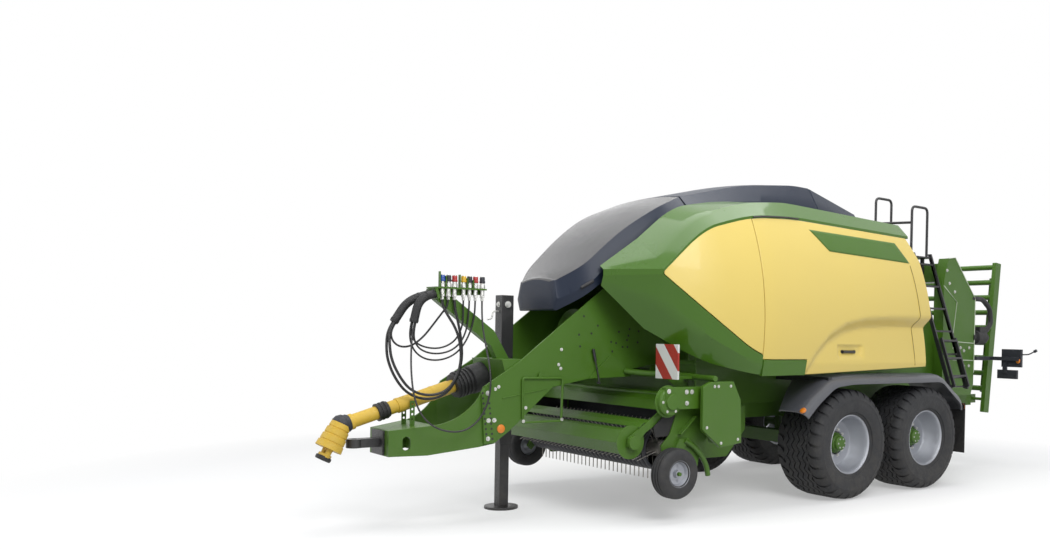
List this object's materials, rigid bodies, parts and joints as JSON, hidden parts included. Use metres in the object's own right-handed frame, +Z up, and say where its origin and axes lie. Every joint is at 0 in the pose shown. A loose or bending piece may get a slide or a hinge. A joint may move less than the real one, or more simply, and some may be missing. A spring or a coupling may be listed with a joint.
{
  "type": "large square baler",
  "caption": "Towed farm baler with a pick-up reel, closed side covers, tandem wheels, drawbar with drive shaft, rear bale channel and folding bale chute.",
  "frame": {"origin": "on the ground under the middle of the overall length, on the centre line", "axes": "+X forward towards the drawbar, +Y to the machine's left, +Z up"},
  "size_m": [9.2515, 2.9512, 3.617],
  "materials": {
    "green_paint": "satin",
    "yellow_cover": "gloss",
    "grey_cover": "gloss",
    "black_paint": "satin",
    "rim_silver": "satin",
    "tyre_rubber": "matte",
    "black_rubber": "matte",
    "guard_yellow": "satin",
    "bare_steel": "satin",
    "board": "gloss",
    "lamp": "gloss",
    "band_black": "satin",
    "coupling": "satin"
  },
  "bodies": {
    "chassis": {"drawbar": "green_paint", "hitch_eye": "black_paint", "frame_plates": "green_paint", "bale_channel": "green_paint", "chassis_rails": "green_paint", "feeder_housing": "green_paint", "main_gearbox": "green_paint", "body_arches": "green_paint", "pto_guard": "guard_yellow", "pto_boots": "black_rubber", "pto_yoke": "bare_steel", "jack_tube": "black_paint", "hose_arm": "green_paint", "couplings": "coupling", "hose_sleeves": "black_rubber", "hoses_long": "black_rubber", "hoses_short": "black_rubber", "cowls": "green_paint", "front_covers": "yellow_cover", "roof_panels": "grey_cover", "fenders": "grey_cover", "mudflaps": "black_rubber", "axle_front": "green_paint", "axle_rear": "green_paint", "guard_tube": "green_paint", "drive_covers": "green_paint", "warning_boards": "board", "rear_frame": "green_paint", "ladder": "black_paint", "railing": "black_paint", "tail_lamps": "lamp"},
    "wheel_fl": {"tyre_front_left": "tyre_rubber", "wheel_front_left": "rim_silver"},
    "wheel_fr": {"tyre_front_right": "tyre_rubber", "wheel_front_right": "rim_silver"},
    "steer_left": {"knuckle_left": "green_paint"},
    "steer_right": {"knuckle_right": "green_paint"},
    "wheel_rl": {"tyre_rear_left": "tyre_rubber", "wheel_rear_left": "rim_silver"},
    "wheel_rr": {"tyre_rear_right": "tyre_rubber", "wheel_rear_right": "rim_silver"},
    "pickup": {"pickup_frame": "green_paint", "stripper_bands": "band_black"},
    "tine_reel": {"reel": "bare_steel"},
    "guard": {"crop_guard": "green_paint"},
    "roller": {"crop_roller": "green_paint"},
    "gauge_left": {"gauge_wheel_left": "tyre_rubber"},
    "gauge_right": {"gauge_wheel_right": "tyre_rubber"},
    "rotor": {"feed_rotor": "bare_steel"},
    "drive_wheel": {"flywheel": "green_paint"},
    "side_door_left": {"door_left": "yellow_cover", "door_sill_left": "green_paint"},
    "side_door_right": {"door_right": "yellow_cover", "door_sill_right": "green_paint"},
    "front_hood": {"hood": "grey_cover"},
    "bale_chute": {"chute": "green_paint"},
    "jack": {"jack_leg": "black_paint"},
    "lower_step": {"ladder_step": "black_paint"}
  },
  "joints": [
    {"name": "front_left_roll", "type": "hinge", "parent": "chassis", "child": "wheel_fl", "pos_m": [-0.5995, 1.16, 0.595], "axis": [0, 1, 0], "continuous": true},
    {"name": "front_right_roll", "type": "hinge", "parent": "chassis", "child": "wheel_fr", "pos_m": [-0.5995, -1.16, 0.595], "axis": [0, 1, 0], "continuous": true},
    {"name": "left_steer", "type": "hinge", "parent": "chassis", "child": "steer_left", "pos_m": [-1.9495, 0.77, 0.595], "axis": [0, 0, 1], "range_deg": [-12, 12]},
    {"name": "right_steer", "type": "hinge", "parent": "chassis", "child": "steer_right", "pos_m": [-1.9495, -0.77, 0.595], "axis": [0, 0, 1], "range_deg": [-12, 12]},
    {"name": "rear_left_roll", "type": "hinge", "parent": "steer_left", "child": "wheel_rl", "pos_m": [-1.9495, 1.16, 0.595], "axis": [0, 1, 0], "continuous": true},
    {"name": "rear_right_roll", "type": "hinge", "parent": "steer_right", "child": "wheel_rr", "pos_m": [-1.9495, -1.16, 0.595], "axis": [0, 1, 0], "continuous": true},
    {"name": "pickup_lift", "type": "hinge", "parent": "chassis", "child": "pickup", "pos_m": [1.1155, 0, 1.01], "axis": [0, 1, 0], "range_deg": [0, 26]},
    {"name": "reel_spin", "type": "hinge", "parent": "pickup", "child": "tine_reel", "pos_m": [1.7155, 0, 0.655], "axis": [0, 1, 0], "continuous": true},
    {"name": "guard_swing", "type": "hinge", "parent": "pickup", "child": "guard", "pos_m": [1.5255, 0, 1.15], "axis": [0, -1, 0], "range_deg": [0, 18]},
    {"name": "roller_spin", "type": "hinge", "parent": "guard", "child": "roller", "pos_m": [2.1555, 0, 0.745], "axis": [0, 1, 0], "continuous": true},
    {"name": "gauge_left_roll", "type": "hinge", "parent": "pickup", "child": "gauge_left", "pos_m": [1.7755, 1.31, 0.455], "axis": [0, 1, 0], "continuous": true},
    {"name": "gauge_right_roll", "type": "hinge", "parent": "pickup", "child": "gauge_right", "pos_m": [1.7755, -1.31, 0.455], "axis": [0, 1, 0], "continuous": true},
    {"name": "rotor_spin", "type": "hinge", "parent": "chassis", "child": "rotor", "pos_m": [0.9355, 0, 0.76], "axis": [0, 1, 0], "continuous": true},
    {"name": "flywheel_spin", "type": "hinge", "parent": "chassis", "child": "drive_wheel", "pos_m": [1.9755, 0, 1.65], "axis": [1, 0, 0], "continuous": true},
    {"name": "door_left_lift", "type": "hinge", "parent": "chassis", "child": "side_door_left", "pos_m": [-0.6245, 1.25, 2.985], "axis": [1, 0, 0], "range_deg": [0, 70]},
    {"name": "door_right_lift", "type": "hinge", "parent": "chassis", "child": "side_door_right", "pos_m": [-0.6245, -1.25, 2.985], "axis": [-1, 0, 0], "range_deg": [0, 70]},
    {"name": "hood_lift", "type": "hinge", "parent": "chassis", "child": "front_hood", "pos_m": [1.1655, 0, 3.176], "axis": [0, -1, 0], "range_deg": [0, 40]},
    {"name": "chute_fold", "type": "hinge", "parent": "chassis", "child": "bale_chute", "pos_m": [-4.3545, 0, 0.93], "axis": [0, -1, 0], "range_deg": [0, 83]},
    {"name": "jack_slide", "type": "slide", "parent": "chassis", "child": "jack", "axis": [0, 0, 1], "range_m": [0, 0.35]},
    {"name": "step_fold", "type": "hinge", "parent": "chassis", "child": "lower_step", "pos_m": [-2.9245, 1.19, 1.16], "axis": [-1, 0, 0], "range_deg": [0, 175]}
  ],
  "couplings": [
    {"joint": "right_steer", "follows": "left_steer", "ratio": 1}
  ]
}
